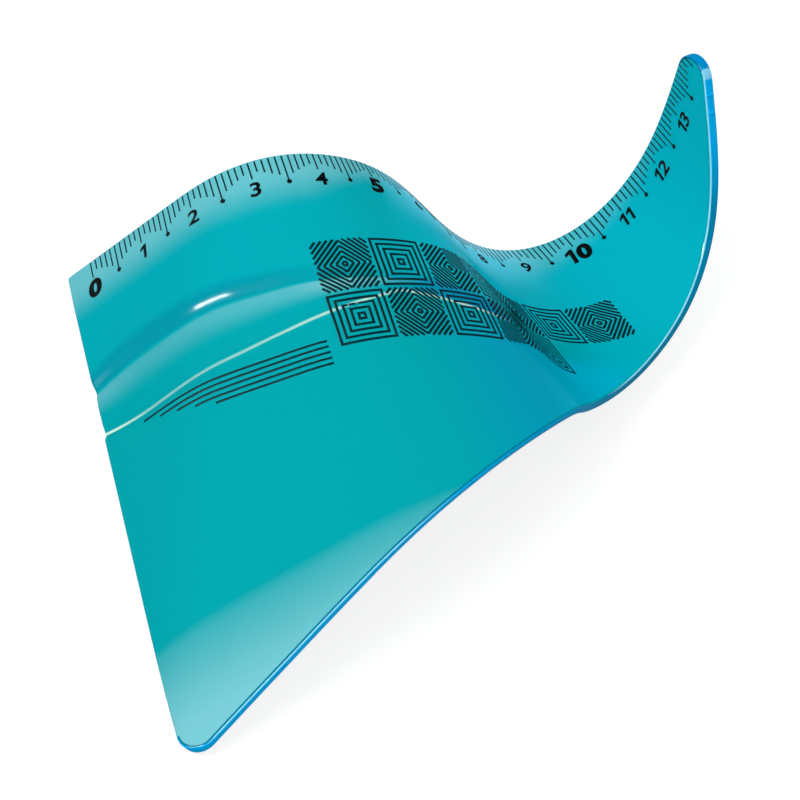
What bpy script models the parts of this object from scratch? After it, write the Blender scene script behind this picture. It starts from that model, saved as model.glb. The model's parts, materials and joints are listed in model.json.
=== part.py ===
"""A flexible 30/60/90 set square, modelled flat as it is moulded and then bent as the photo shows it.

Flat, a place on the sheet is its distance along the graduated leg from the zero mark, its distance
down from that leg, and its depth from the middle of the thickness, up towards the print. The sheet
is made as four panels that meet along lines where it flexes. All of them are bent in the same way, so
they lie on one smooth surface. Bending never stretches the sheet: it rolls round fold lines, which
start on the graduated leg, lean to one side and stay straight. The seams between the panels are such
lines, so each is a true hinge line.
"""

from math import cos, radians, sin, tan

import bmesh
import bpy
import numpy as np
from mathutils import Matrix, Vector

MM = 0.001

# Outline of the flat sheet
LONG_LEG = 155.5 * MM
SHARP_ANGLE = radians(30)
ZERO_MARGIN = 4.8 * MM
SHARP_RADIUS = 3.4 * MM
BLUNT_RADIUS = 3.1 * MM
THICKNESS = 1.8 * MM
EDGE_BREAK = 0.25 * MM

# Sloped edge along the graduated leg
SLOPE_WIDTH = 6 * MM
SLOPE_DROP = 0.2 * MM

# Grip channel let into the print side: two grooves with a low crown between them, from the short leg,
# where it is pinched a little, to where it has closed
CHANNEL_START = 25.5 * MM
CHANNEL_END = 24.4 * MM
CHANNEL_WIDTH = 14.4 * MM
CHANNEL_END_WIDTH = 1.4 * MM
CHANNEL_DEPTH = 0.73 * MM
CHANNEL_LENGTH = 56 * MM
CHANNEL_WIDEST_SHARE = 0.18
CHANNEL_PINCH = 2
CHANNEL_ACROSS_SHARES = (0, 0.1, 0.2, 0.32, 0.46, 0.7, 0.88, 1)
CHANNEL_DEPTH_SHARES = (0, 0.5, 1, 0.6, 0.38, 0.49, 0.84, 0)

# Seams where the panels meet
SEAM_GAP = 0.3 * MM

# The bends: where each is centred on the graduated leg, how far it reaches to each side, how far the
# sheet turns in it, towards the print side when above nought, and how the fold lines lean there.
# Ahead of the corner the sheet is flat, and only the lean of its fold lines is stated.
CORNER_AT = 28.6 * MM
CORNER_LEAN = radians(-18.9)
CREST_AT = 29.5 * MM
CREST_REACH = 15.5 * MM
CREST_TURN = radians(-51.7)
CREST_LEAN = radians(-1.3)
FALL_AT = 46.6 * MM
FALL_REACH = 30.6 * MM
FALL_TURN = radians(-55.8)
FALL_LEAN = radians(29.1)
RISE_AT = 81.4 * MM
RISE_REACH = 34.7 * MM
RISE_TURN = radians(21.3)
RISE_LEAN = radians(-6.9)
TIP_AT = 102.5 * MM
TIP_REACH = 39 * MM
TIP_TURN = radians(121.3)
TIP_LEAN = radians(7.2)

# Where the seams start on the graduated leg: at the crest, at the slanting flank and in the trough
CREST_SEAM_AT = 31 * MM
FLANK_SEAM_AT = 54 * MM
TROUGH_SEAM_AT = 97 * MM

# How the bent sheet lies on a table: tipped along its length, rolled to one side, then turned
TIPPED = radians(-55.85)
ROLLED = radians(-0.26)
HEADING = radians(-50)

# Colour
TEAL = (0.0, 0.37, 0.45)

# Facets
COLUMN_STEP = 1.4 * MM
BEND_STEP = 0.5 * MM
BLUNT_COLUMN_ANGLES = np.radians((0, 20, 40, 60, 80, 100, 120))
SHARP_COLUMN_ANGLES = np.radians((105, 80, 55, 32, 12))
SHARP_FROM = radians(30)
PLAIN_ROW_SHARES = (0.2, 0.4, 0.6, 0.8)
BELOW_CHANNEL_SHARES = (0.1, 0.3, 0.5, 0.7, 0.9)
LAYER_SHARES = (0, 0.25, 0.5, 0.75, 1)
HALVINGS = 40

SHORT_LEG = LONG_LEG * tan(SHARP_ANGLE)
CORNER = -ZERO_MARGIN
SHARP_END = LONG_LEG - ZERO_MARGIN
SHARP_CENTRE = SHARP_END - SHARP_RADIUS / tan(SHARP_ANGLE / 2)
BLUNT_CENTRE = CORNER + BLUNT_RADIUS
HALF_THICKNESS = THICKNESS / 2


class Bend:
    """One bend: its centre and reach along the graduated leg, and its whole turn."""

    def __init__(self, at, reach, turn):
        self.at = at
        self.reach = reach
        self.turn = turn

    def curvature(self, along):
        """The turn for each step along the leg: most at the centre, easing to nothing at the reach."""
        away = np.clip((along - self.at) / self.reach, -1, 1)
        return self.turn / self.reach * (1 + np.cos(np.pi * away)) / 2


BENDS = (
    Bend(CREST_AT, CREST_REACH, CREST_TURN),
    Bend(FALL_AT, FALL_REACH, FALL_TURN),
    Bend(RISE_AT, RISE_REACH, RISE_TURN),
    Bend(TIP_AT, TIP_REACH, TIP_TURN),
)
LEAN_PLACES = (CORNER_AT, CREST_AT, FALL_AT, RISE_AT, TIP_AT)
LEAN_SLOPES = np.tan((CORNER_LEAN, CREST_LEAN, FALL_LEAN, RISE_LEAN, TIP_LEAN))


def fold_slope(along):
    """How far the fold line that starts here drifts along the leg for each step down the sheet."""
    return np.interp(along, LEAN_PLACES, LEAN_SLOPES)


def roll_out(way, length):
    """The sheet's frame at each step from the zero mark, forwards or back along the graduated leg."""
    along, down, up = Vector((1, 0, 0)), Vector((0, -1, 0)), Vector((0, 0, 1))
    place = Vector((0, 0, 0))
    frames = []
    for step in range(round(length / BEND_STEP)):
        middle = way * (step + 1 / 2) * BEND_STEP
        fold = down + float(fold_slope(middle)) * along
        turn = way * fold.length * BEND_STEP * float(sum(bend.curvature(middle) for bend in BENDS))
        half_roll = Matrix.Rotation(turn / 2, 3, fold)
        along, down, up = half_roll @ along, half_roll @ down, half_roll @ up
        place = place + way * BEND_STEP * along
        along, down, up = half_roll @ along, half_roll @ down, half_roll @ up
        frames.append((way * (step + 1) * BEND_STEP, place, along, down, up))
    return frames


def spine():
    """Distances along the graduated leg, and the sheet's place, along, down and up at each."""
    frames = roll_out(-1, ZERO_MARGIN + SHORT_LEG)[::-1] + roll_out(1, LONG_LEG)
    stance = Matrix.Rotation(HEADING, 3, "Z") @ Matrix.Rotation(ROLLED, 3, "X")
    stance = np.array(stance @ Matrix.Rotation(TIPPED, 3, "Y"))
    distances = np.array([frame[0] for frame in frames])
    return distances, [np.array([frame[part] for frame in frames]) @ stance.T for part in (1, 2, 3, 4)]


SPINE_ALONG, SPINE_FRAMES = spine()


def fold_start(along, down):
    """Where the fold line through each flat place starts on the graduated leg, found by halving."""
    low = np.full(np.shape(along), SPINE_ALONG[0])
    high = np.full(np.shape(along), SPINE_ALONG[-1])
    for _ in range(HALVINGS):
        middle = (low + high) / 2
        beyond = middle + down * fold_slope(middle) > along
        high = np.where(beyond, middle, high)
        low = np.where(beyond, low, middle)
    return (low + high) / 2


def frame_at(start):
    """The sheet's place, along, down and up where the given fold lines start."""
    return [
        np.stack([np.interp(start, SPINE_ALONG, part[:, axis]) for axis in range(3)], axis=-1)
        for part in SPINE_FRAMES
    ]


def bent(along, down, depth):
    """Where places on the flat sheet lie once it is bent."""
    start = fold_start(along, down)
    place, ahead, across, up = frame_at(start)
    fold = across + fold_slope(start)[..., None] * ahead
    return place + down[..., None] * fold + depth[..., None] * up


def bulge(radius, away):
    """The half width of a circle at a distance from its centre, and nought outside it."""
    return np.sqrt(np.maximum(radius**2 - away**2, 0))


def outline_top(along):
    """How far down the outline's upper side lies: nought except round the sharp tip."""
    away = np.maximum(along - SHARP_CENTRE, 0)
    return SHARP_RADIUS - bulge(SHARP_RADIUS, away)


def outline_bottom(along):
    """How far down the outline's lower side lies: the long slanting side and the two round tips."""
    side = (SHARP_END - along) * tan(SHARP_ANGLE)
    blunt_down = (SHARP_END - BLUNT_CENTRE) * tan(SHARP_ANGLE) - BLUNT_RADIUS / cos(SHARP_ANGLE)
    blunt = blunt_down + bulge(BLUNT_RADIUS, along - BLUNT_CENTRE)
    sharp = SHARP_RADIUS + bulge(SHARP_RADIUS, along - SHARP_CENTRE)
    side = np.where(along < BLUNT_CENTRE + BLUNT_RADIUS * sin(SHARP_ANGLE), blunt, side)
    return np.where(along > SHARP_CENTRE + SHARP_RADIUS * sin(SHARP_ANGLE), sharp, side)


def channel(along):
    """The middle, width and depth of the grip channel at a distance along the leg."""
    share = np.clip((along - CORNER) / CHANNEL_LENGTH, 0, 1)
    middle = CHANNEL_START + (CHANNEL_END - CHANNEL_START) * share
    past_widest = (share - CHANNEL_WIDEST_SHARE) / (1 - CHANNEL_WIDEST_SHARE)
    taper = np.cos(np.pi / 2 * np.where(past_widest < 0, CHANNEL_PINCH, 1) * past_widest)
    width = CHANNEL_END_WIDTH + (CHANNEL_WIDTH - CHANNEL_END_WIDTH) * taper
    return middle, width, CHANNEL_DEPTH * (1 - share**2)


def front_depth(along, down):
    """The depth of the print side: level, but for the sloped edge and the grip channel."""
    slope = SLOPE_DROP * np.clip(1 - down / SLOPE_WIDTH, 0, 1)
    middle, width, depth = channel(along)
    across = (down - middle) / width + 1 / 2
    return HALF_THICKNESS - slope - depth * np.interp(across, CHANNEL_ACROSS_SHARES, CHANNEL_DEPTH_SHARES)


def round_edge(depth, edge_break):
    """How far a half-round end stands past its cut, round the cut's line."""
    return bulge(HALF_THICKNESS, depth)


def round_socket(depth, edge_break):
    """How far a hollow end stands back from its cut, clear of the half-round end in front of it."""
    return bulge(HALF_THICKNESS + SEAM_GAP, depth)


def outline_start(depth, edge_break):
    """The short leg: its arrises are broken."""
    return edge_break


def outline_end(depth, edge_break):
    """The end of the sharp tip: its arrises are broken."""
    return -edge_break


class Cut:
    """A straight line down the flat sheet where panels end or start, with the form of each end."""

    def __init__(self, start, slope, before, after):
        self.start = start
        self.slope = slope
        self.before = before
        self.after = after


def seam(start):
    """A hinge line, which follows the fold line that starts here."""
    return Cut(start, fold_slope(start), round_edge, round_socket)


TIP_COLUMNS = SHARP_CENTRE + SHARP_RADIUS * np.cos(SHARP_COLUMN_ANGLES)
BLUNT_COLUMNS = BLUNT_CENTRE - BLUNT_RADIUS * np.cos(BLUNT_COLUMN_ANGLES)
SHORT_LEG_CUT = Cut(BLUNT_COLUMNS[0], 0, None, outline_start)
CREST_SEAM = seam(CREST_SEAM_AT)
FLANK_SEAM = seam(FLANK_SEAM_AT)
TROUGH_SEAM = seam(TROUGH_SEAM_AT)
TIP_CUT = Cut(TIP_COLUMNS[-1], 0, outline_end, None)


def even_columns(start, end):
    """Columns spread evenly between two places on the leg, about a column step apart."""
    return np.linspace(start, end, round((end - start) / COLUMN_STEP) + 1)


def line_bottom(starts, slopes):
    """How far down straight lines from the leg meet the outline's lower side."""
    down = np.zeros(len(starts))
    for _ in range(HALVINGS):
        down = outline_bottom(starts + slopes * down)
    return down


def row_places(starts, slopes, has_channel):
    """How far down each row of corners lies on each of the lines from the leg."""
    top = outline_top(starts)
    bottom = line_bottom(starts, slopes)
    slope_end = np.minimum(SLOPE_WIDTH, (top + bottom) / 2)
    rows = [top, slope_end]
    if has_channel:
        middle, width, _ = channel(starts)
        rows += [middle + (share - 1 / 2) * width for share in CHANNEL_ACROSS_SHARES]
        rows += [rows[-1] + share * (bottom - rows[-1]) for share in BELOW_CHANNEL_SHARES]
    else:
        rows += [slope_end + share * (bottom - slope_end) for share in PLAIN_ROW_SHARES]
    return np.stack([*rows, bottom])


def unit_block(cells):
    """A block of unit cubes, so many each way, with faces only on its outside."""
    block = bmesh.new()
    corner_at_nought = Matrix.Diagonal((*cells, 1)) @ Matrix.Translation((1 / 2, 1 / 2, 1 / 2))
    bmesh.ops.create_cube(block, size=1, matrix=corner_at_nought)
    for axis, count in enumerate(cells):
        normal = Vector([int(axis == other) for other in range(3)])
        for cut in range(1, count):
            everything = block.verts[:] + block.edges[:] + block.faces[:]
            bmesh.ops.bisect_plane(block, geom=everything, plane_co=cut * normal, plane_no=normal)
    return block


class Panel:
    """One stiff stretch of the sheet between two cuts: a block whose corners are moved into place."""

    def __init__(self, name, first, last, columns, slopes, has_channel):
        self.name = name
        last_row = len(row_places(columns, slopes, has_channel)) - 1
        last_layer = len(LAYER_SHARES) + 1
        self.block = unit_block((len(columns) - 1, last_row, last_layer))
        corners = np.array([[round(share) for share in corner.co] for corner in self.block.verts])
        column, row, layer = corners.T
        edge_break = np.where((layer == 0) | (layer == last_layer), EDGE_BREAK, 0)
        start, slope = columns[column], slopes[column]

        def down_from(start):
            rows = row_places(start, slope, has_channel)
            down = rows[row, np.arange(len(row))] + np.where(row == 0, edge_break, 0)
            return down - np.where(row == last_row, edge_break / cos(SHARP_ANGLE), 0)

        down = down_from(start)
        front = front_depth(start + slope * down, down)
        low, high = EDGE_BREAK - HALF_THICKNESS, front - EDGE_BREAK
        depth = low + (high - low) * np.array(LAYER_SHARES)[np.clip(layer - 1, 0, last_layer - 2)]
        depth = np.where(layer == 0, -HALF_THICKNESS, np.where(layer == last_layer, front, depth))
        steepness = np.hypot(1, slope)
        start = start + np.where(column == 0, first.after(depth, edge_break) * steepness, 0)
        at_last = column == len(columns) - 1
        start = start + np.where(at_last, last.before(depth, edge_break) * steepness, 0)
        down = down_from(start)
        self.places = bent(start + slope * down, down, depth)

    def build(self, origin, location, parent, collection):
        """The panel as an object whose origin is on the line that it turns on."""
        for corner, place in zip(self.block.verts, self.places):
            corner.co = place - origin
        bmesh.ops.reverse_faces(self.block, faces=self.block.faces)
        mesh = bpy.data.meshes.new(self.name)
        self.block.to_mesh(mesh)
        self.block.free()
        mesh.shade_smooth()
        mesh.set_sharp_from_angle(angle=SHARP_FROM)
        mesh.materials.append(plastic(self.name, TEAL))
        panel = bpy.data.objects.new(self.name, mesh)
        panel.parent = parent
        panel.location = location
        collection.objects.link(panel)
        return panel


def plastic(name, colour):
    """Clear tinted plastic with a polished skin."""
    material = bpy.data.materials.new(name)
    material.use_nodes = True
    shader = material.node_tree.nodes["Principled BSDF"]
    shader.inputs["Base Color"].default_value = (*colour, 1)
    shader.inputs["Roughness"].default_value = 0.12
    shader.inputs["Metallic"].default_value = 0
    shader.inputs["Transmission Weight"].default_value = 0.6
    return material


def clear_scene():
    """Removes whatever the scene holds."""
    for found in list(bpy.data.objects):
        bpy.data.objects.remove(found)


def middle_of(cut):
    """The middle of a cut's line on the bent sheet, half way down and half way through."""
    down = line_bottom(np.array([cut.start]), np.array([cut.slope])) / 2
    return bent(cut.start + cut.slope * down, down, np.zeros(1))[0]


def main():
    clear_scene()
    collection = bpy.data.collections.new("flexible_set_square")
    bpy.context.scene.collection.children.link(collection)
    corner = np.concatenate([BLUNT_COLUMNS[:-1], even_columns(BLUNT_COLUMNS[-1], CREST_SEAM_AT)])
    crest = even_columns(CREST_SEAM_AT, FLANK_SEAM_AT)
    trough = even_columns(FLANK_SEAM_AT, TROUGH_SEAM_AT)
    tip = np.concatenate([even_columns(TROUGH_SEAM_AT, TIP_COLUMNS[0]), TIP_COLUMNS[1:]])
    corner_slopes = np.interp(corner, (corner[0], corner[-1]), (0, CREST_SEAM.slope))
    tip_slopes = np.interp(tip, (tip[0], tip[-1]), (TROUGH_SEAM.slope, 0))
    panels = [
        Panel("sheet_corner_end", SHORT_LEG_CUT, CREST_SEAM, corner, corner_slopes, True),
        Panel("sheet_crest", CREST_SEAM, FLANK_SEAM, crest, fold_slope(crest), True),
        Panel("sheet_trough", FLANK_SEAM, TROUGH_SEAM, trough, fold_slope(trough), False),
        Panel("sheet_sharp_tip", TROUGH_SEAM, TIP_CUT, tip, tip_slopes, False),
    ]
    places = np.concatenate([panel.places for panel in panels])
    low, high = places.min(axis=0), places.max(axis=0)
    stand = np.array([*(low + high)[:2] / 2, low[2]])
    origins = [stand, middle_of(CREST_SEAM), middle_of(FLANK_SEAM), middle_of(TROUGH_SEAM)]
    parent, parent_origin = None, stand
    for panel, origin in zip(panels, origins):
        parent = panel.build(origin, origin - parent_origin, parent, collection)
        parent_origin = origin


main()
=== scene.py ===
"""Looks of the flexible set square: one unbroken sheet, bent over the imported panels, with its print.

The sheet and the print are both modelled flat, cut along the sheet's fold lines and then bent. Flat, a
place is its distance along the graduated leg from the zero mark, its distance down from that leg, and
its depth from the middle of the thickness, up towards the print.
"""

import json
from math import cos, pi, radians, sin, tan

import bmesh
import bpy
import numpy as np
from mathutils import Matrix, Vector


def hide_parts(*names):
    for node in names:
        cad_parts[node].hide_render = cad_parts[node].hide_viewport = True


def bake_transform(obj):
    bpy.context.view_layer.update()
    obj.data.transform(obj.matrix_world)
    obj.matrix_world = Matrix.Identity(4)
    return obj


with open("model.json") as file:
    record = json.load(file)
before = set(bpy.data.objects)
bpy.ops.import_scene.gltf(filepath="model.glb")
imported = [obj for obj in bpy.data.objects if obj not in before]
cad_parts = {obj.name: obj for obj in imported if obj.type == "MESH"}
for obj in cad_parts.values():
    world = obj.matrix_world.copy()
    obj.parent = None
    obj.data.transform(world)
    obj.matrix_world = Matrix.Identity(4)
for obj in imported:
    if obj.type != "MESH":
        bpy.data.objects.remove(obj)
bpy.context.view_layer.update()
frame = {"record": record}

MM = 0.001

# Outline of the flat sheet, as in the frame
LONG_LEG = 155.5 * MM
RIGHT_ANGLE = radians(90)
SHARP_ANGLE = radians(30)
ZERO_MARGIN = 4.8 * MM
SHARP_RADIUS = 3.4 * MM
BLUNT_RADIUS = 3.1 * MM
CORNER_RADIUS = 0.5 * MM
THICKNESS = 1.8 * MM

# Its arrises and round corners, how finely they are cut, and the least radius that an inset leaves
ARRIS_RADIUS = 0.34 * MM
ARRIS_STEPS = 4
LEAST_RADIUS = 0.02 * MM
OUTLINE_TURN = radians(10)

# Sloped edge along the graduated leg
SLOPE_WIDTH = 6 * MM
SLOPE_DROP = 0.2 * MM

# Grip channel
CHANNEL_START = 25.5 * MM
CHANNEL_END = 24.4 * MM
CHANNEL_WIDTH = 14.4 * MM
CHANNEL_END_WIDTH = 1.4 * MM
CHANNEL_DEPTH = 0.73 * MM
CHANNEL_LENGTH = 56 * MM
CHANNEL_WIDEST_SHARE = 0.18
CHANNEL_PINCH = 2
CHANNEL_ACROSS_SHARES = (0, 0.2, 0.32, 0.46, 0.7, 0.88, 1)
CHANNEL_DEPTH_SHARES = (0, 1, 0.6, 0.38, 0.49, 0.84, 0)

# The painted highlight line at the foot of the channel, and how it runs on past the channel's end
CHANNEL_LOW_SHARE = 0.88
LINE_TAIL_FROM = 46 * MM
LINE_TAIL_DOWN = 25.7 * MM
LINE_TAIL_SLOPE = 0.2

# The bends, as in the frame
CORNER_AT = 28.6 * MM
CORNER_LEAN = radians(-18.9)
CREST_AT = 29.5 * MM
CREST_REACH = 15.5 * MM
CREST_TURN = radians(-51.7)
CREST_LEAN = radians(-1.3)
FALL_AT = 46.6 * MM
FALL_REACH = 30.6 * MM
FALL_TURN = radians(-55.8)
FALL_LEAN = radians(29.1)
RISE_AT = 81.4 * MM
RISE_REACH = 34.7 * MM
RISE_TURN = radians(21.3)
RISE_LEAN = radians(-6.9)
TIP_AT = 102.5 * MM
TIP_REACH = 39 * MM
TIP_TURN = radians(121.3)
TIP_LEAN = radians(7.2)
TIPPED = radians(-55.85)
ROLLED = radians(-0.26)
HEADING = radians(-50)
BEND_STEP = 0.5 * MM
HALVINGS = 40

# Where the fold lines crowd together near the slanting side, the bend is evened out
CROWD_ALONG = 74 * MM
CROWD_DOWN = 43 * MM
CROWD_REACH = 26 * MM
EVEN_REACH = 6 * MM
EVEN_STEPS = 4

# The frame's hinge lines, and reaches before and past each of them
CREST_SEAM_AT = 31 * MM
FLANK_SEAM_AT = 54 * MM
TROUGH_SEAM_AT = 97 * MM
CREST_FLEX = (15 * MM, 10.5 * MM)
FLANK_FLEX = (10.5 * MM, 12.5 * MM)
TROUGH_FLEX = (15 * MM, 15 * MM)

# Where the sheet's stretches meet, halfway between the hinge lines, as starts on the leg and slopes
JOINS = ((42.5 * MM, 0.22), (75.5 * MM, 0.24))

# How finely the sheet is cut
FOLD_CUT_STEP = 0.7 * MM
FIRST_ROW = 1 * MM
PLAIN_ROW_STEP = 3 * MM
CHANNEL_ROW_STEP = 0.25 * MM
CHANNEL_ROWS_FROM = 17 * MM
CHANNEL_ROWS_TO = 33.5 * MM
CUT_TOLERANCE = 0.0001 * MM

# Rim of the long slanting side, with a painted shade line and a painted highlight on its arris, a few bands
# of faces wide
SLANT_REACH = 1.2 * MM
RIM_LINE_REACH = 0.5 * MM
RIM_LINE_BANDS = 2
GLINT_BANDS = 2

# Moulding nubs on that side: beads with a reach along it, across it and up
NUBS_AT = (137.5 * MM, 135 * MM)
NUB_REACHES = (0.3 * MM, 0.32 * MM, 0.75 * MM)
NUB_INSET = 0.1 * MM
NUB_SIDES = 16
NUB_RINGS = 10

# Scale: lengths of the marks from a centimetre mark to the half-centimetre mark
MARK_COUNT = 140
MARKS_PER_CENTIMETRE = 10
MARK_PITCH = 1 * MM
MARK_LENGTHS = (3.2 * MM, 2.15 * MM, 2.6 * MM, 3.1 * MM, 3.6 * MM, 4.8 * MM)
MARK_WIDTH = 0.24 * MM
MARK_START = 0.3 * MM
MARK_RIM_CLEAR = 0.8 * MM
DOT_RADIUS = 0.38 * MM
DOT_SIDES = 20

# Numbers of the scale, every fifth of them larger
BIG_NUMBER_EVERY = 5
NUMBER_DOWN = 5 * MM
BIG_NUMBER_DOWN = 5.15 * MM
NUMBER_HEIGHT = 2.4 * MM
BIG_NUMBER_HEIGHT = 3.2 * MM
NUMBER_SHEAR_SHARE = 0.12
NUMBER_WIDEN_SHARE = 1.22
NUMBER_WEIGHT_SHARE = 0.022
BIG_NUMBER_WEIGHT_SHARE = 0.055
DIGIT_GAP_SHARE = 0.1
DIGIT_CURVE_STEPS = 4
DIGIT_MERGE_SHARE = 0.00001

# The digit one is drawn point by point: its width, its stem, and the heights of its flag's corners
ONE_WIDTH_SHARE = 0.4
ONE_STEM_SHARE = 0.15
ONE_FLAG_SHARES = (0.8, 0.6, 0.72)

# Printed band: two rows of square tiles, filled in turn with nested diamonds and nested squares
TILE = 9.2 * MM
TILE_START = 34.5 * MM
TILE_TOP = 15.9 * MM
TILE_COLUMNS = 7
TILE_ROWS = 2
TILE_RINGS = 5
TILE_LINE = 0.42 * MM
TILE_RIM_CLEAR = 1 * MM

# Straight printed lines below the grip channel
RULE_COUNT = 5
RULE_START = 3 * MM
RULE_END = 33 * MM
RULE_STEP_BACK = 3 * MM
RULE_FROM = 32.6 * MM
RULE_PITCH = 0.95 * MM
RULE_WIDTH = 0.35 * MM
INK_LIFT = 0.02 * MM

# The skins of the sheet's faces: its face, its rim, the rim's painted highlight and its painted shade line;
# and the inks of the print's
FACE, RIM, GLINT, RIM_SHADE_LINE = range(4)
INK, THIN_INK = range(2)

# Colours
TEAL = (0.0, 0.36, 0.418, 1)
LOW_TEAL = (0.0, 0.335, 0.375, 1)
# Pale: partly the thin plastic's lighter tone, partly a painted reflection
PALE_AND_REFLECTION = (0.20, 0.56, 0.62, 1)
# Painted shade on the channel's wall
WALL_SHADE = (0.0, 0.27, 0.36, 1)
# Painted highlight along the line at the channel's foot
LINE_HIGHLIGHT = (0.55, 0.86, 0.72, 1)
# Painted reflection on the steep flank's thin edge
SKY_REFLECTION = (0.10, 0.68, 0.90, 1)
# Paler painted reflection right at that edge
WHITE_REFLECTION = (0.36, 0.80, 0.97, 1)
# Painted light past the crest and on the tip
LIT_BLUE = (0.0, 0.48, 0.62, 1)
# Painted shade low on the flank
FLANK_SHADE = (0.0, 0.315, 0.46, 1)
# Lighter painted shade further along the flank's foot
FOOT = (0.0, 0.41, 0.58, 1)
# Painted shade beside the end of the highlight line
LENS_SHADE = (0.0, 0.19, 0.40, 1)
AZURE = (0.0, 0.41, 0.86, 1)
RIM_AZURE = (0.0, 0.47, 0.97, 1)
# Painted shade along the middle of the rim
RIM_WALL_SHADE = (0.0, 0.26, 0.47, 1)
# Painted shade at the end of the sharp tip
RIM_END_SHADE = (0.0, 0.25, 0.56, 1)
# Painted reflection on the rim near the sharp tip
RIM_REFLECTION = (0.22, 0.60, 0.86, 1)
# Painted highlight on the arris
GLINT_BLUE = (0.25, 0.75, 1.0, 1)
# Whiter painted highlight on the arris, also a painted reflection near the tip
GLINT_WHITE = (0.30, 0.76, 0.95, 1)
# Painted shade line beside the arris
SHADE_LINE_TEAL = (0.0, 0.19, 0.30, 1)
# Darker painted shade at the tip's end, beside the arris
SHADE_LINE_END = (0.0, 0.14, 0.24, 1)
INK_BLACK = (0.0, 0.002, 0.003, 1)
INK_TEAL = (0.0, 0.022, 0.028, 1)
REFLECTION_TINT = (0.03, 0.85, 1.0, 1)
FLOOR_GREY = (0.3, 0.3, 0.3, 1)
WHITE = (1, 1, 1, 1)

# Plastic and ink: how clear and glossy they are, and the ripples and grain in their polish
SEEN_THROUGH_SHARE = 0.04
SEEN_THROUGH_IOR = 1.1
GLOSS_SHARE = 0.03
RIPPLES_PER_MM = 0.35
RIPPLE_DETAIL = 3
RIPPLE_ROUGHNESS = (0.07, 0.15)
GRAINS_PER_MM = 2
GRAIN_DETAIL = 2
GRAIN_ROUGHNESS = (0.4, 0.6)
INK_SHINE = 0.01

# Pale along the thin edge, partly thin plastic and partly a painted reflection; painted reflections at the
# blunt end and on the channel's crown, by places in millimetres
EDGE_REACH_MM = 10
EDGE_PLACES = (38, 48, 58, 90, 102, 116, 126)
EDGE_REACH_SHARES = (0.95, 0.55, 1, 0.95, 0.55, 0.35, 0.25)
EDGE_SHARES = (0.6, 0.55, 0.25, 0.6, 0.35, 0.2, 0.05)
EDGE_FADE_SHARES = (1, 0.3)
TIP_SLOPE = 0.2
TIP_PLACES = (69, 71, 83)
TIP_REFLECTION_SHARES = (0, 0.2, 0.85)
CROWN_BAND_SHARES = ((0.2, 0.25), (0.62, 0.28))
CROWN_PLACES = (-5, 5, 20, 30, 38, 52)
CROWN_SHARES = (0.45, 0.25, 0.35, 0.4, 0.8, 0)

# Painted light past the crest, painted shade low on the flank and painted reflections at its thin edge, by
# places in millimetres
LOW_SPAN = (18, 30)
LIT_DOWN_SPAN = (30, 16)
LIT_ALONG_SPAN = (80, 94)
LIT_PLACES = (48, 60, 76, 86, 100, 126)
LIT_SHARES = (0, 1, 1, 0.4, 0.35, 0.55)
DUSK_SPAN = (26, 34)
DUSK_PLACES = (46, 60, 88, 96)
DUSK_SHARES = (0, 1, 1, 0)
FOOT_PLACES = (46, 66, 73, 96)
FOOT_COLOURS = (FLANK_SHADE, FLANK_SHADE, FOOT, FOOT)
STEEP_PLACES = (50, 60, 80, 93)
STEEP_SHARES = (0, 1, 1, 0)
SKY_REFLECTION_SPAN = (13, 4)
WHITE_REFLECTION_SPAN = (4.5, 0.5)

# Painted shade on the channel's wall, a painted highlight along the line at its foot, and painted shade
# beside that line's end
WALL_BAND_SHARES = ((-0.14, 0.02), (0.2, 0.16))
WALL_SPAN = (50, 20)
WALL_SHARE = 0.8
LENS_BAND = ((-4.5, -2.5), (0.3, -0.3))
LENS_PLACES = (42, 54, 64, 68)
LENS_SHARES = (0, 0.75, 0.8, 0)
LINE_BAND = ((-0.4, -0.1), (0.35, 0.05))
LINE_PLACES = (-4, 4, 16, 30, 40, 60, 66)
LINE_SHARES = (1, 0.42, 0.38, 0.6, 0.7, 0.7, 0)

# Colours along the rim's wall, its arris and the line beside that, with painted shade, painted highlights
# and, at the tip, a painted reflection and painted shade
RIM_PLACES = (40, 92, 122, 131, 136)
RIM_COLOURS = (RIM_AZURE, RIM_WALL_SHADE, RIM_WALL_SHADE, AZURE, AZURE)
GLINT_PLACES = (-1, 1, 34, 44, 84, 92, 124, 130)
GLINT_COLOURS = (
    RIM_AZURE, GLINT_BLUE, GLINT_BLUE, RIM_AZURE, RIM_WALL_SHADE, GLINT_WHITE, GLINT_WHITE, GLINT_BLUE,
)
RIM_LINE_PLACES = (30, 60, 80, 136)
RIM_LINE_COLOURS = (SHADE_LINE_TEAL, SHADE_LINE_TEAL, TEAL, TEAL)
ROUND_TIP_SPAN = (134, 136)
REFLECTION_SPAN = (6.4, 6.2)
END_SHADE_SPAN = (5.3, 5)

# Camera, fitted to the photo
CAMERA_PLACE = (-0.559459, -0.107777, 0.646645)
CAMERA_TURN = (radians(39.4045), radians(-15.1104), radians(-62.7497))
CAMERA_LENS = 257
CAMERA_NEAR = 0.01

# Lamps, floor and world
KEY_PLACE = (-0.52, 0.4, 0.85)
KEY_SIZE = (0.5, 0.5)
KEY_POWER = 6
STREAK_FROM = (radians(-136), radians(19))
STREAK_TO = (radians(-115), radians(46))
STREAK_DISTANCE = 0.7
STREAK_SIZE = (0.035, 0.4)
STREAK_POWER = 140
FLOOR_REACH = 3
FLOOR_ROUGHNESS = 0.9
FLOOR_GLOW = 0.79
WORLD_LIGHT = 0.75

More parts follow.
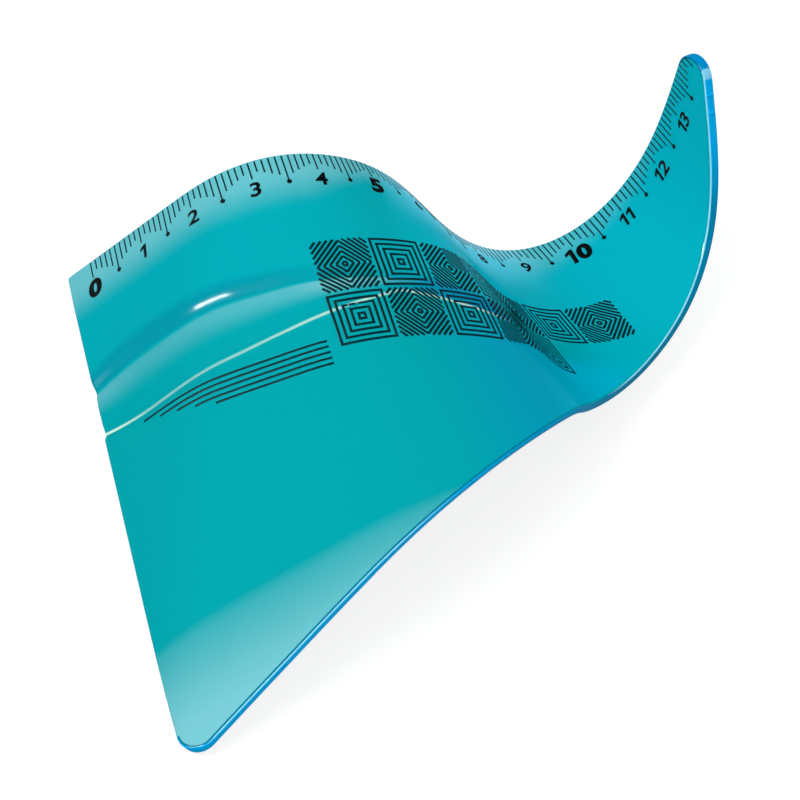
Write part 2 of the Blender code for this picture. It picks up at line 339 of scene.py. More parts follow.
SHORT_LEG = LONG_LEG * tan(SHARP_ANGLE)
BLUNT_ANGLE = RIGHT_ANGLE - SHARP_ANGLE
CORNER = -ZERO_MARGIN
SHARP_END = LONG_LEG - ZERO_MARGIN
HALF_THICKNESS = THICKNESS / 2
BENDS = (
    (CREST_AT, CREST_REACH, CREST_TURN),
    (FALL_AT, FALL_REACH, FALL_TURN),
    (RISE_AT, RISE_REACH, RISE_TURN),
    (TIP_AT, TIP_REACH, TIP_TURN),
)
LEAN_PLACES = (CORNER_AT, CREST_AT, FALL_AT, RISE_AT, TIP_AT)
LEAN_SLOPES = np.tan((CORNER_LEAN, CREST_LEAN, FALL_LEAN, RISE_LEAN, TIP_LEAN))


# The bend

def curvature(along):
    """The turn for each step along the leg."""
    total = 0
    for at, reach, turn in BENDS:
        away = np.clip((along - at) / reach, -1, 1)
        total += turn / reach * (1 + np.cos(np.pi * away)) / 2
    return total


def fold_slope(along):
    """How far the fold line that starts here drifts along the leg for each step down the sheet."""
    return np.interp(along, LEAN_PLACES, LEAN_SLOPES)


def roll_out(way, length):
    """The sheet's frame at each step from the zero mark, forwards or back along the graduated leg."""
    along, down, up = Vector((1, 0, 0)), Vector((0, -1, 0)), Vector((0, 0, 1))
    place = Vector((0, 0, 0))
    frames = []
    for step in range(round(length / BEND_STEP)):
        middle = way * (step + 1 / 2) * BEND_STEP
        fold = down + float(fold_slope(middle)) * along
        turn = way * fold.length * BEND_STEP * float(curvature(middle))
        half_roll = Matrix.Rotation(turn / 2, 3, fold)
        along, down, up = half_roll @ along, half_roll @ down, half_roll @ up
        place = place + way * BEND_STEP * along
        along, down, up = half_roll @ along, half_roll @ down, half_roll @ up
        frames.append((way * (step + 1) * BEND_STEP, place, along, down, up))
    return frames


def spine():
    """Distances along the graduated leg, and the sheet's place, along, down and up at each."""
    frames = roll_out(-1, ZERO_MARGIN + SHORT_LEG)[::-1] + roll_out(1, LONG_LEG)
    stance = Matrix.Rotation(HEADING, 3, "Z") @ Matrix.Rotation(ROLLED, 3, "X")
    stance = np.array(stance @ Matrix.Rotation(TIPPED, 3, "Y"))
    distances = np.array([step[0] for step in frames])
    return distances, [np.array([step[part] for step in frames]) @ stance.T for part in (1, 2, 3, 4)]


SPINE_ALONG, SPINE_FRAMES = spine()


def fold_start(along, down):
    """Where the fold line through each flat place starts on the graduated leg, found by halving."""
    low = np.full(np.shape(along), SPINE_ALONG[0])
    high = np.full(np.shape(along), SPINE_ALONG[-1])
    for _ in range(HALVINGS):
        middle = (low + high) / 2
        beyond = middle + down * fold_slope(middle) > along
        high = np.where(beyond, middle, high)
        low = np.where(beyond, low, middle)
    return (low + high) / 2


def frame_at(start):
    """The sheet's place, along, down and up where the given fold lines start."""
    return [
        np.stack([np.interp(start, SPINE_ALONG, part[:, axis]) for axis in range(3)], axis=-1)
        for part in SPINE_FRAMES
    ]


def bent(along, down, depth):
    """Where places on the flat sheet lie once it is bent, before it is moved to its stand."""
    start = fold_start(along, down)
    place, ahead, across, up = frame_at(start)
    fold = across + fold_slope(start)[..., None] * ahead
    return place + down[..., None] * fold + depth[..., None] * up


def evenly_bent(along, down, depth):
    """Where places on the flat sheet lie once it is bent, with no crease where the fold lines crowd."""
    away = np.clip(np.hypot(along - CROWD_ALONG, down - CROWD_DOWN) / CROWD_REACH, 0, 1)
    reach = EVEN_REACH * (1 + np.cos(np.pi * away)) / 2
    places, weights = 0, 0
    for step in range(-EVEN_STEPS, EVEN_STEPS + 1):
        aside = step / (EVEN_STEPS + 1)
        weight = (1 + cos(pi * aside)) / 2
        places = places + weight * bent(along + aside * reach, down, depth)
        weights += weight
    return places / weights


class Hinge:
    """A hinge line of the frame: its middle, and the way across it along the sheet."""

    def __init__(self, at):
        start = np.array([at])
        slope = fold_slope(start)
        down = (SHARP_END - start) * tan(SHARP_ANGLE) / (1 + slope * tan(SHARP_ANGLE))
        self.middle = bent(start + slope * down / 2, down / 2, np.zeros(1))[0]
        _, ahead, across, up = (part[0] for part in frame_at(start))
        fold = Vector(across + slope[0] * ahead).normalized()
        self.way = Vector(up).cross(fold).normalized()
        if self.way.dot(Vector(ahead)) < 0:
            self.way.negate()


CREST = Hinge(CREST_SEAM_AT)
FLANK = Hinge(FLANK_SEAM_AT)
TROUGH = Hinge(TROUGH_SEAM_AT)
JOINT_PLACES = {joint["name"]: joint["pos_m"] for joint in frame["record"]["behaviour"]["joints"]}
STAND = CREST.middle - np.array(JOINT_PLACES["crest_flex"])

# The stretches: name, bodies, hinge, how far the blend reaches either way, and the panels replaced
STRETCHES = (
    ("to_crest", "corner_end", "crest", CREST, CREST_FLEX, ("sheet_corner_end",)),
    ("flank", "crest", "trough", FLANK, FLANK_FLEX, ("sheet_crest", "sheet_trough")),
    ("to_tip", "trough", "sharp_tip", TROUGH, TROUGH_FLEX, ("sheet_sharp_tip",)),
)


# The surface

def channel(along):
    """The middle, width and depth of the grip channel at a distance along the leg."""
    share = np.clip((along - CORNER) / CHANNEL_LENGTH, 0, 1)
    middle = CHANNEL_START + (CHANNEL_END - CHANNEL_START) * share
    past_widest = (share - CHANNEL_WIDEST_SHARE) / (1 - CHANNEL_WIDEST_SHARE)
    taper = np.cos(np.pi / 2 * np.where(past_widest < 0, CHANNEL_PINCH, 1) * past_widest)
    width = CHANNEL_END_WIDTH + (CHANNEL_WIDTH - CHANNEL_END_WIDTH) * taper
    return middle, width, CHANNEL_DEPTH * (1 - share**2)


def across_channel(along, down):
    """How far across the channel a flat place lies, as a share of its width from its upper side."""
    middle, width, _ = channel(along)
    return (down - middle) / width + 1 / 2


def low_line(along):
    """How far down the painted highlight line at the foot of the channel lies. It runs on past the
    channel's end.
    """
    middle, width, _ = channel(along)
    past = np.clip(along - LINE_TAIL_FROM, 0, None)
    tail = LINE_TAIL_DOWN + LINE_TAIL_SLOPE * past
    return np.where(past > 0, tail, middle + (CHANNEL_LOW_SHARE - 1 / 2) * width)


def eased(place, places, values):
    """Values between table places, with an even ease at each place."""
    index = np.clip(np.searchsorted(places, place) - 1, 0, len(places) - 2)
    places, values = np.array(places, float), np.array(values, float)
    share = np.clip((place - places[index]) / (places[index + 1] - places[index]), 0, 1)
    share = share * share * (3 - 2 * share)
    return values[index] + (values[index + 1] - values[index]) * share


def front_depth(along, down):
    """The depth of the print side: level, but for the sloped edge and the grip channel."""
    slope = SLOPE_DROP * np.clip(1 - down / SLOPE_WIDTH, 0, 1)
    _, _, depth = channel(along)
    sunk = eased(across_channel(along, down), CHANNEL_ACROSS_SHARES, CHANNEL_DEPTH_SHARES)
    return HALF_THICKNESS - slope - depth * sunk


# Flat modelling

def rounded_outline(inset):
    """Points round the flat outline, drawn in by an inset, with every corner rounded."""
    from_sharp = Vector((-cos(SHARP_ANGLE / 2), -sin(SHARP_ANGLE / 2)))
    from_blunt = Vector((sin(BLUNT_ANGLE / 2), cos(BLUNT_ANGLE / 2)))
    corners = (
        (Vector((CORNER, 0)), CORNER_RADIUS, Vector((1, -1)).normalized(), RIGHT_ANGLE),
        (Vector((SHARP_END, 0)), SHARP_RADIUS, from_sharp, SHARP_ANGLE),
        (Vector((CORNER, -SHORT_LEG)), BLUNT_RADIUS, from_blunt, BLUNT_ANGLE),
    )
    points = []
    for corner, radius, inward, angle in corners:
        round_left = max(radius - inset, LEAST_RADIUS)
        centre = corner + inward * (inset + round_left) / sin(angle / 2)
        sweep = pi - angle
        steps = max(2, round(sweep / OUTLINE_TURN))
        first = Matrix.Rotation(sweep / 2, 2) @ -inward
        for step in range(steps + 1):
            points.append(centre + round_left * (Matrix.Rotation(-sweep * step / steps, 2) @ first))
    return points


def slant_gap(along, down):
    """How far inside the long slanting side a flat place lies, or inside the round tips at its ends."""
    gap = (SHARP_END - along) * sin(SHARP_ANGLE) - down * cos(SHARP_ANGLE)
    sharp = Vector((SHARP_END - SHARP_RADIUS / tan(SHARP_ANGLE / 2), SHARP_RADIUS))
    blunt = Vector((CORNER + BLUNT_RADIUS, SHORT_LEG - BLUNT_RADIUS / tan(BLUNT_ANGLE / 2)))
    place = Vector((along, down))
    if along > sharp.x:
        gap = min(gap, SHARP_RADIUS - (place - sharp).length)
    if down > blunt.y:
        gap = min(gap, BLUNT_RADIUS - (place - blunt).length)
    return gap


def flat_sheet():
    """The flat sheet as one closed mesh, with a rounded arris all round both faces."""
    mesh = bmesh.new()
    front = [(RIM_LINE_REACH, HALF_THICKNESS)]
    for step in range(ARRIS_STEPS + 1):
        turn = RIGHT_ANGLE * step / ARRIS_STEPS
        front.append((ARRIS_RADIUS * (1 - sin(turn)), HALF_THICKNESS - ARRIS_RADIUS * (1 - cos(turn))))
    loops = front + [(inset, -depth) for inset, depth in reversed(front)]
    bands = ARRIS_STEPS + 1
    skins = [FACE] * bands + [RIM] * bands + [FACE]
    slant_skins = [RIM_SHADE_LINE] * RIM_LINE_BANDS + [GLINT] * GLINT_BANDS
    slant_skins += [RIM] * (2 * bands - len(slant_skins)) + [FACE]
    rings = []
    for inset, depth in loops:
        rings.append([mesh.verts.new((*point, depth)) for point in rounded_outline(inset)])
    for ring, below, skin, slant_skin in zip(rings, rings[1:], skins, slant_skins):
        for index in range(len(ring)):
            after = (index + 1) % len(ring)
            face = mesh.faces.new((ring[index], ring[after], below[after], below[index]))
            middle = (ring[index].co + ring[after].co) / 2
            face.material_index = slant_skin if slant_gap(middle.x, -middle.y) < SLANT_REACH else skin
    mesh.faces.new(rings[0])
    mesh.faces.new(rings[-1])
    bmesh.ops.recalc_face_normals(mesh, faces=mesh.faces)
    return mesh


def faces_at(verts):
    """The faces that touch these corners."""
    return {face for vert in verts for face in vert.link_faces}


def add_nubs(mesh):
    """The moulding nubs: small upright beads on the wall of the long slanting side."""
    size = Matrix.Diagonal((*NUB_REACHES, 1))
    for along in NUBS_AT:
        down = (SHARP_END - along) * tan(SHARP_ANGLE) - NUB_INSET
        place = Matrix.Translation((along, -down, 0)) @ Matrix.Rotation(SHARP_ANGLE, 4, "Z") @ size
        bead = bmesh.ops.create_uvsphere(
            mesh, u_segments=NUB_SIDES, v_segments=NUB_RINGS, radius=1, matrix=place,
        )
        for face in faces_at(bead["verts"]):
            face.material_index = RIM


def cut(mesh, place, square_to):
    """Cuts flat pieces along the straight line through a place, square to a way."""
    everything = mesh.verts[:] + mesh.edges[:] + mesh.faces[:]
    bmesh.ops.bisect_plane(mesh, geom=everything, dist=CUT_TOLERANCE, plane_co=place, plane_no=square_to)


def cut_fold(mesh, start, slope):
    """Cuts flat pieces along a sloping line that starts on the graduated leg."""
    cut(mesh, (start, 0, 0), (1, slope, 0))


def cut_rows(mesh, start, end, step):
    """Cuts flat pieces along lines beside the graduated leg."""
    for down in np.arange(start, end, step):
        cut(mesh, (0, -float(down), 0), (0, 1, 0))


def cut_for_bending(mesh):
    """Cuts flat pieces along the fold lines, and where the stretches meet."""
    for start in np.arange(CORNER, SHARP_END, FOLD_CUT_STEP):
        cut_fold(mesh, float(start), float(fold_slope(start)))
    for start, slope in JOINS:
        cut_fold(mesh, start, slope)


def bend_mesh(mesh, over_front):
    """Moves flat corners to the bent surface, and gives their flat places. The print keeps its height."""
    flat = np.array([vert.co for vert in mesh.verts])
    along, down = flat[:, 0], -flat[:, 1]
    front = front_depth(along, down)
    if over_front:
        depth = front + flat[:, 2]
    else:
        depth = -HALF_THICKNESS + (flat[:, 2] + HALF_THICKNESS) / THICKNESS * (front + HALF_THICKNESS)
    for vert, place in zip(mesh.verts, evenly_bent(along, down, depth) - STAND):
        vert.co = place
    return flat


# The sheet's stretches

def keep_flat_places(mesh, flat):
    """Keeps on each corner its flat place, and where that is on the channel, for the materials."""
    flat_layer = mesh.verts.layers.float_vector.new("flat_mm")
    across_layer = mesh.verts.layers.float.new("across_channel")
    line_layer = mesh.verts.layers.float.new("past_highlight_line_mm")
    along, down = flat[:, 0], -flat[:, 1]
    past_highlight_line = (down - low_line(along)) / MM
    for vert, place, share, past in zip(mesh.verts, flat / MM, across_channel(along, down), past_highlight_line):
        vert[flat_layer] = (place[0], -place[1], place[2])
        vert[across_layer] = share
        vert[line_layer] = past


def keep_normals(mesh):
    """Keeps the whole sheet's normals on its corners, so that no seam shows between two stretches."""
    mesh.normal_update()
    normal_layer = mesh.verts.layers.float_vector.new("whole_normal")
    for vert in mesh.verts:
        vert[normal_layer] = vert.normal


def keep_stretches(mesh, flat):
    """Keeps on each face the number of the stretch that it is in."""
    stretch_layer = mesh.faces.layers.int.new("stretch")
    mesh.verts.index_update()
    for face in mesh.faces:
        centre = flat[[vert.index for vert in face.verts]].mean(axis=0)
        face[stretch_layer] = sum(int(centre[0] > start - slope * centre[1]) for start, slope in JOINS)
        face.smooth = True


def stretch_piece(name, mesh, which):
    """One stretch as an object, with the normals of the whole sheet."""
    part = mesh.copy()
    layer = part.faces.layers.int["stretch"]
    others = [face for face in part.faces if face[layer] != which]
    bmesh.ops.delete(part, geom=others, context="FACES")
    data = bpy.data.meshes.new(name)
    part.to_mesh(data)
    part.free()
    normals = np.zeros(len(data.vertices) * 3, dtype=np.float32)
    data.attributes["whole_normal"].data.foreach_get("vector", normals)
    data.attributes.remove(data.attributes["whole_normal"])
    data.attributes.remove(data.attributes["stretch"])
    data.normals_split_custom_set_from_vertices(normals.reshape(-1, 3))
    piece = bpy.data.objects.new(name, data)
    bpy.context.scene.collection.objects.link(piece)
    return piece


def add_in_stretches(name, mesh, over_front, materials):
    """Bends flat pieces, and divides them into one piece for each stretch."""
    cut_for_bending(mesh)
    flat = bend_mesh(mesh, over_front)
    keep_flat_places(mesh, flat)
    keep_normals(mesh)
    keep_stretches(mesh, flat)
    for which, (stretch, body_a, body_b, hinge, (before, past), nodes) in enumerate(STRETCHES):
        piece = stretch_piece(f"{name}_{stretch}", mesh, which)
        for index in sorted(materials):
            piece.data.materials.append(materials[index])
        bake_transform(piece)
        if not over_front:
            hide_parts(*nodes)
    mesh.free()


# The print

def stroke(mesh, start, end, width):
    """One straight printed line, as a thin flat bar between two flat places given as along and down."""
    first, last = Vector((start[0], -start[1])), Vector((end[0], -end[1]))
    middle, way = (first + last) / 2, last - first
    turned = Matrix.Rotation(np.arctan2(way.y, way.x), 4, "Z")
    size = Matrix.Diagonal((way.length, width, 2 * INK_LIFT, 1))
    bar = bmesh.ops.create_cube(mesh, size=1, matrix=Matrix.Translation((*middle, 0)) @ turned @ size)
    for face in faces_at(bar["verts"]):
        face.material_index = THIN_INK


def dot(mesh, along, down):
    """One printed dot."""
    bmesh.ops.create_cone(
        mesh, cap_ends=True, segments=DOT_SIDES, radius1=DOT_RADIUS, radius2=DOT_RADIUS,
        depth=2 * INK_LIFT, matrix=Matrix.Translation((along, -down, 0)),
    )


def drawn_one(weight):
    """The digit one as a flat face, one unit high, and its width."""
    flat = bmesh.new()
    tip, base, root = ONE_FLAG_SHARES
    left, right = ONE_WIDTH_SHARE - ONE_STEM_SHARE - weight, ONE_WIDTH_SHARE
    outline = ((left, 0), (right, 0), (right, 1), (left + weight, 1), (0, tip), (0, base), (left, root))
    flat.faces.new([flat.verts.new((*point, 0)) for point in outline])
    return flat, right


def written_digit(digit, weight):
    """Any other digit as flat faces, one unit high, and its width."""
    curve = bpy.data.curves.new("digit", "FONT")
    curve.body = digit
    curve.offset = weight
    curve.resolution_u = DIGIT_CURVE_STEPS
    writing = bpy.data.objects.new("digit", curve)
    bpy.context.scene.collection.objects.link(writing)
    bpy.context.view_layer.update()
    drawn = bpy.data.meshes.new_from_object(writing.evaluated_get(bpy.context.evaluated_depsgraph_get()))
    bpy.data.objects.remove(writing)
    bpy.data.curves.remove(curve)
    flat = bmesh.new()
    flat.from_mesh(drawn)
    bpy.data.meshes.remove(drawn)
    bmesh.ops.remove_doubles(flat, verts=flat.verts, dist=DIGIT_MERGE_SHARE)
    corners = np.array([vert.co[:2] for vert in flat.verts])
    low, high = corners.min(axis=0), corners.max(axis=0)
    tall = high[1] - low[1]
    for vert in flat.verts:
        vert.co = ((vert.co.x - low[0]) / tall, (vert.co.y - low[1]) / tall, 0)
    return flat, (high[0] - low[0]) / tall


def number(mesh, text, along, down, height, weight):
    """One printed number, centred below its centimetre mark."""
    digits = [drawn_one(weight) if digit == "1" else written_digit(digit, weight) for digit in text]
    widths = [width for _, width in digits]
    start = -(sum(widths) + DIGIT_GAP_SHARE * (len(widths) - 1)) / 2
    for flat, width in digits:
        for vert in flat.verts:
            rise = vert.co.y - 1 / 2
            aside = (start + vert.co.x) * NUMBER_WIDEN_SHARE + NUMBER_SHEAR_SHARE * rise
            vert.co = (along + aside * height, -down + rise * height, -INK_LIFT)
        grown = bmesh.ops.extrude_face_region(flat, geom=flat.faces[:])
        for item in grown["geom"]:
            if isinstance(item, bmesh.types.BMVert):
                item.co.z = INK_LIFT
        bmesh.ops.recalc_face_normals(flat, faces=flat.faces)
        solid = bpy.data.meshes.new("digit")
        flat.to_mesh(solid)
        flat.free()
        mesh.from_mesh(solid)
        bpy.data.meshes.remove(solid)
        start += width + DIGIT_GAP_SHARE


def top_of_tip(along):
    """How far down the outline's upper side lies: nought except round the sharp tip."""
    centre = SHARP_END - SHARP_RADIUS / tan(SHARP_ANGLE / 2)
    away = np.clip(along - centre, 0, SHARP_RADIUS)
    return SHARP_RADIUS - np.sqrt(SHARP_RADIUS**2 - away**2)


def scale_print():
    """The millimetre marks, the dots and the numbers."""
    mesh = bmesh.new()
    for mark in range(MARK_COUNT + 1):
        along = mark * MARK_PITCH
        aside = min(mark % MARKS_PER_CENTIMETRE, -mark % MARKS_PER_CENTIMETRE)
        length = MARK_LENGTHS[aside]
        top = MARK_START + float(top_of_tip(along))
        bottom = min(length, (SHARP_END - along) * tan(SHARP_ANGLE) - MARK_RIM_CLEAR)
        if bottom - top < MARK_WIDTH:
            continue
        stroke(mesh, (along, top), (along, bottom), MARK_WIDTH)
        if 2 * aside == MARKS_PER_CENTIMETRE:
            dot(mesh, along, length + DOT_RADIUS / 2)
    for centimetre in range(MARK_COUNT // MARKS_PER_CENTIMETRE):
        if centimetre % BIG_NUMBER_EVERY == 0:
            down, height, weight = BIG_NUMBER_DOWN, BIG_NUMBER_HEIGHT, BIG_NUMBER_WEIGHT_SHARE
        else:
            down, height, weight = NUMBER_DOWN, NUMBER_HEIGHT, NUMBER_WEIGHT_SHARE
        along = centimetre * MARKS_PER_CENTIMETRE * MARK_PITCH
        number(mesh, str(centimetre), along, down, height, weight)
    return mesh


def square_tile(mesh, middle, down):
    """A square tile of nested squares."""
    for ring in range(TILE_RINGS):
        reach = (ring + 1 / 2) * TILE / TILE_RINGS / 2
        for side in (-reach, reach):
            end = reach + TILE_LINE / 2
            stroke(mesh, (middle - end, down + side), (middle + end, down + side), TILE_LINE)
            stroke(mesh, (middle + side, down - end), (middle + side, down + end), TILE_LINE)


def diamond_tile(mesh, middle, down):
    """A square tile of nested diamonds, the outer ones cut off by the tile's sides."""
    half = TILE / 2 - TILE_LINE / 2
    for ring in range(2 * TILE_RINGS - 1):
        reach = (ring + 1 / 2) * TILE / TILE_RINGS / 2
        inner, outer = max(0, reach - half), min(reach, half)
        for way_along in (-1, 1):
            for way_down in (-1, 1):
                first = (middle + way_along * outer, down + way_down * inner)
                last = (middle + way_along * inner, down + way_down * outer)
                stroke(mesh, first, last, TILE_LINE)


def band_print():
    """The band of tiles across the middle, and the straight lines below the grip channel."""
    mesh = bmesh.new()
    for column in range(TILE_COLUMNS):
        for row in range(TILE_ROWS):
            middle = TILE_START + (column + 1 / 2) * TILE
            down = TILE_TOP + (row + 1 / 2) * TILE
            if slant_gap(middle + TILE / 2, down + TILE / 2) < TILE_RIM_CLEAR:
                continue
            draw = square_tile if (column + row) % 2 else diamond_tile
            draw(mesh, middle, down)
    for line in range(RULE_COUNT):
        down = RULE_FROM + line * RULE_PITCH
        stroke(mesh, (RULE_START + line * RULE_STEP_BACK, down), (RULE_END, down), RULE_WIDTH)
    cut_rows(mesh, CHANNEL_ROWS_FROM, CHANNEL_ROWS_TO, CHANNEL_ROW_STEP)
    return mesh


# Shader nodes

def wired(tree, kind, inputs, **settings):
    """A shader node with its settings, whose inputs are given values or joined to other nodes' outputs."""
    made = tree.nodes.new(kind)
    for name, value in settings.items():
        setattr(made, name, value)
    for name, value in inputs.items():
        if isinstance(value, bpy.types.NodeSocket):
            tree.links.new(value, made.inputs[name])
        else:
            made.inputs[name].default_value = value
    return made


def worked(tree, operation, first, second):
    """One step of arithmetic on two values or outputs."""
    return wired(tree, "ShaderNodeMath", {0: first, 1: second}, operation=operation).outputs["Value"]


def product(tree, first, *others):
    """The given values multiplied together."""
    for other in others:
        first = worked(tree, "MULTIPLY", first, other)
    return first


def greatest(tree, first, *others):
    """The greatest of the given values."""
    for other in others:
        first = worked(tree, "MAXIMUM", first, other)
    return first


def faded(tree, value, span):
    """Nought at the first place of a span and before, and one at its second and on, eased between."""
    inputs = {"Value": value, "From Min": span[0], "From Max": span[1]}
    return wired(tree, "ShaderNodeMapRange", inputs, interpolation_type="SMOOTHSTEP").outputs["Result"]


def banded(tree, value, spans):
    """One inside a band that fades in over two spans, one from either side, and nought outside it."""
    return product(tree, faded(tree, value, spans[0]), faded(tree, value, spans[1]))


def graded(tree, value, places, amounts):
    """Amounts or colours that run evenly from place to place."""
    inputs = {"Value": value, "From Min": places[0], "From Max": places[-1]}
    share = wired(tree, "ShaderNodeMapRange", inputs).outputs["Result"]
    ramp = wired(tree, "ShaderNodeValToRGB", {"Fac": share})
    stops = ramp.color_ramp.elements
    for place in places[1:-1]:
        stops.new((place - places[0]) / (places[-1] - places[0]))
    for stop, amount in zip(stops, amounts):
        stop.color = amount if isinstance(amount, tuple) else (amount, amount, amount, 1)
    return ramp.outputs["Color"]


def mixed(tree, share, first, second):
    """A mix of two colours."""
    inputs = {"Factor": share, "A": first, "B": second}
    return wired(tree, "ShaderNodeMix", inputs, data_type="RGBA").outputs["Result"]


def attribute(tree, name, output):
    """What the mesh keeps under a name at each of its corners."""
    return wired(tree, "ShaderNodeAttribute", {}, attribute_name=name).outputs[output]


def along_and_down(tree):
    """The two distances of the flat place, in millimetres."""
    apart = wired(tree, "ShaderNodeSeparateXYZ", {"Vector": attribute(tree, "flat_mm", "Vector")})
    return apart.outputs["X"], apart.outputs["Y"]


def uneven(tree, scale, detail, amounts):
    """An amount that wavers over the flat sheet between a least and a most."""
    inputs = {"Vector": attribute(tree, "flat_mm", "Vector"), "Scale": scale, "Detail": detail}
    noise = wired(tree, "ShaderNodeTexNoise", inputs).outputs["Fac"]
    inputs = {"Value": noise, "To Min": amounts[0], "To Max": amounts[1]}
    return wired(tree, "ShaderNodeMapRange", inputs).outputs["Result"]


def new_material(name):
    """A new material, its nodes and its shader."""
    material = bpy.data.materials.new(name)
    material.use_nodes = True
    return material, material.node_tree, material.node_tree.nodes["Principled BSDF"]


# Materials

def plastic(name):
    """Clear tinted plastic with a polished skin, fine ripples in it and tinted reflections."""
    material, tree, shader = new_material(name)
    shader.inputs["IOR"].default_value = SEEN_THROUGH_IOR
    shader.inputs["Specular IOR Level"].default_value = 0
    shader.inputs["Specular Tint"].default_value = REFLECTION_TINT
    shader.inputs["Transmission Weight"].default_value = SEEN_THROUGH_SHARE
    shader.inputs["Coat Weight"].default_value = GLOSS_SHARE
    rough = uneven(tree, RIPPLES_PER_MM, RIPPLE_DETAIL, RIPPLE_ROUGHNESS)
    tree.links.new(rough, shader.inputs["Roughness"])
    tree.links.new(rough, shader.inputs["Coat Roughness"])
    return material, tree, shader


def rim_material(name, places, colours, reflection_colour, end_shade_colour):
    """Part of the long slanting rim: its colour along it, with painted highlights and shade, then a painted
    reflection round the sharp tip and painted shade where that ends.
    """
    material, tree, shader = plastic(name)
    along, down = along_and_down(tree)
    colour = graded(tree, along, places, colours)
    at_tip = faded(tree, along, ROUND_TIP_SPAN)
    colour = mixed(tree, product(tree, at_tip, faded(tree, down, REFLECTION_SPAN)), colour, reflection_colour)
    colour = mixed(tree, product(tree, at_tip, faded(tree, down, END_SHADE_SPAN)), colour, end_shade_colour)
    tree.links.new(colour, shader.inputs["Base Color"])
    return material


def pale_share(tree, along, down, across):
    """How pale the sheet is: along its thin edge, partly thinner plastic and partly a painted reflection,
    and with painted reflections at its blunt end and on the channel's crown.
    """
    reach = product(tree, graded(tree, along, EDGE_PLACES, EDGE_REACH_SHARES), EDGE_REACH_MM)
    near = faded(tree, worked(tree, "DIVIDE", down, reach), EDGE_FADE_SHARES)
    edge = product(tree, near, graded(tree, along, EDGE_PLACES, EDGE_SHARES))
    tip_line = worked(tree, "ADD", down, product(tree, along, TIP_SLOPE))
    tip = graded(tree, tip_line, TIP_PLACES, TIP_REFLECTION_SHARES)
    crown = banded(tree, across, CROWN_BAND_SHARES)
    crown = product(tree, crown, graded(tree, along, CROWN_PLACES, CROWN_SHARES))
    return greatest(tree, edge, tip, crown)


def with_bends(tree, colour, along, down, pale):
    """The colour with painted light past the crest, painted shade low on the flank and painted reflections
    at its thin edge.
    """
    lit = greatest(tree, faded(tree, down, LIT_DOWN_SPAN), faded(tree, along, LIT_ALONG_SPAN))
    lit = product(tree, lit, graded(tree, along, LIT_PLACES, LIT_SHARES), worked(tree, "SUBTRACT", 1, pale))
    colour = mixed(tree, lit, colour, LIT_BLUE)
    # Painted shade low on the flank
    flank_shade = product(tree, faded(tree, down, DUSK_SPAN), graded(tree, along, DUSK_PLACES, DUSK_SHARES))
    colour = mixed(tree, flank_shade, colour, graded(tree, along, FOOT_PLACES, FOOT_COLOURS))
    steep = graded(tree, along, STEEP_PLACES, STEEP_SHARES)
    # Painted reflections at the steep flank's thin edge
    colour = mixed(tree, product(tree, faded(tree, down, SKY_REFLECTION_SPAN), steep), colour, SKY_REFLECTION)
    return mixed(tree, product(tree, faded(tree, down, WHITE_REFLECTION_SPAN), steep), colour, WHITE_REFLECTION)


def with_channel(tree, colour, along, across):
    """The colour with painted shade on the channel's wall, a painted highlight line at its foot and painted
    shade in a lens beside that.
    """
    # Painted shade on the channel's wall
    wall = product(tree, banded(tree, across, WALL_BAND_SHARES), faded(tree, along, WALL_SPAN), WALL_SHARE)
    colour = mixed(tree, wall, colour, WALL_SHADE)
    past_highlight_line = attribute(tree, "past_highlight_line_mm", "Fac")
    # Painted shade beside the highlight line's end
    lens = product(tree, banded(tree, past_highlight_line, LENS_BAND), graded(tree, along, LENS_PLACES, LENS_SHARES))
    colour = mixed(tree, lens, colour, LENS_SHADE)
    # Painted highlight along that line
    line = product(tree, banded(tree, past_highlight_line, LINE_BAND), graded(tree, along, LINE_PLACES, LINE_SHARES))
    return mixed(tree, line, colour, LINE_HIGHLIGHT)


def sheet_material():
    """The face of the sheet: darker low down, paler where it is thin, with painted light, shade, highlights
    and reflections by where it is steep or sunk.
    """
    material, tree, shader = plastic("tinted_sheet")
    along, down = along_and_down(tree)
    across = attribute(tree, "across_channel", "Fac")
    pale = pale_share(tree, along, down, across)
    colour = mixed(tree, faded(tree, down, LOW_SPAN), TEAL, LOW_TEAL)
    colour = mixed(tree, pale, colour, PALE_AND_REFLECTION)
    colour = with_bends(tree, colour, along, down, pale)
    colour = with_channel(tree, colour, along, across)
    tree.links.new(colour, shader.inputs["Base Color"])
    return material


def ink_material(name, colour):
    """Printing ink, with a slightly uneven sheen."""
    material, tree, shader = new_material(name)
    rough = uneven(tree, GRAINS_PER_MM, GRAIN_DETAIL, GRAIN_ROUGHNESS)
    tree.links.new(rough, shader.inputs["Roughness"])
    shader.inputs["Base Color"].default_value = colour
    shader.inputs["Specular IOR Level"].default_value = INK_SHINE
    return material


def seen(tree):
    """One for what the camera sees straight, in a reflection or through the plastic, and else nought."""
    path = wired(tree, "ShaderNodeLightPath", {}).outputs
    return greatest(tree, path["Is Camera Ray"], path["Is Glossy Ray"], path["Is Transmission Ray"])


def floor_material():
    """A grey floor that is white where it is seen, but for the shadow on it."""
    material, tree, shader = new_material("floor")
    shader.inputs["Base Color"].default_value = FLOOR_GREY
    shader.inputs["Roughness"].default_value = FLOOR_ROUGHNESS
    shader.inputs["Specular IOR Level"].default_value = 0
    shader.inputs["Emission Color"].default_value = WHITE
    tree.links.new(product(tree, seen(tree), FLOOR_GLOW), shader.inputs["Emission Strength"])
    return material


# The studio

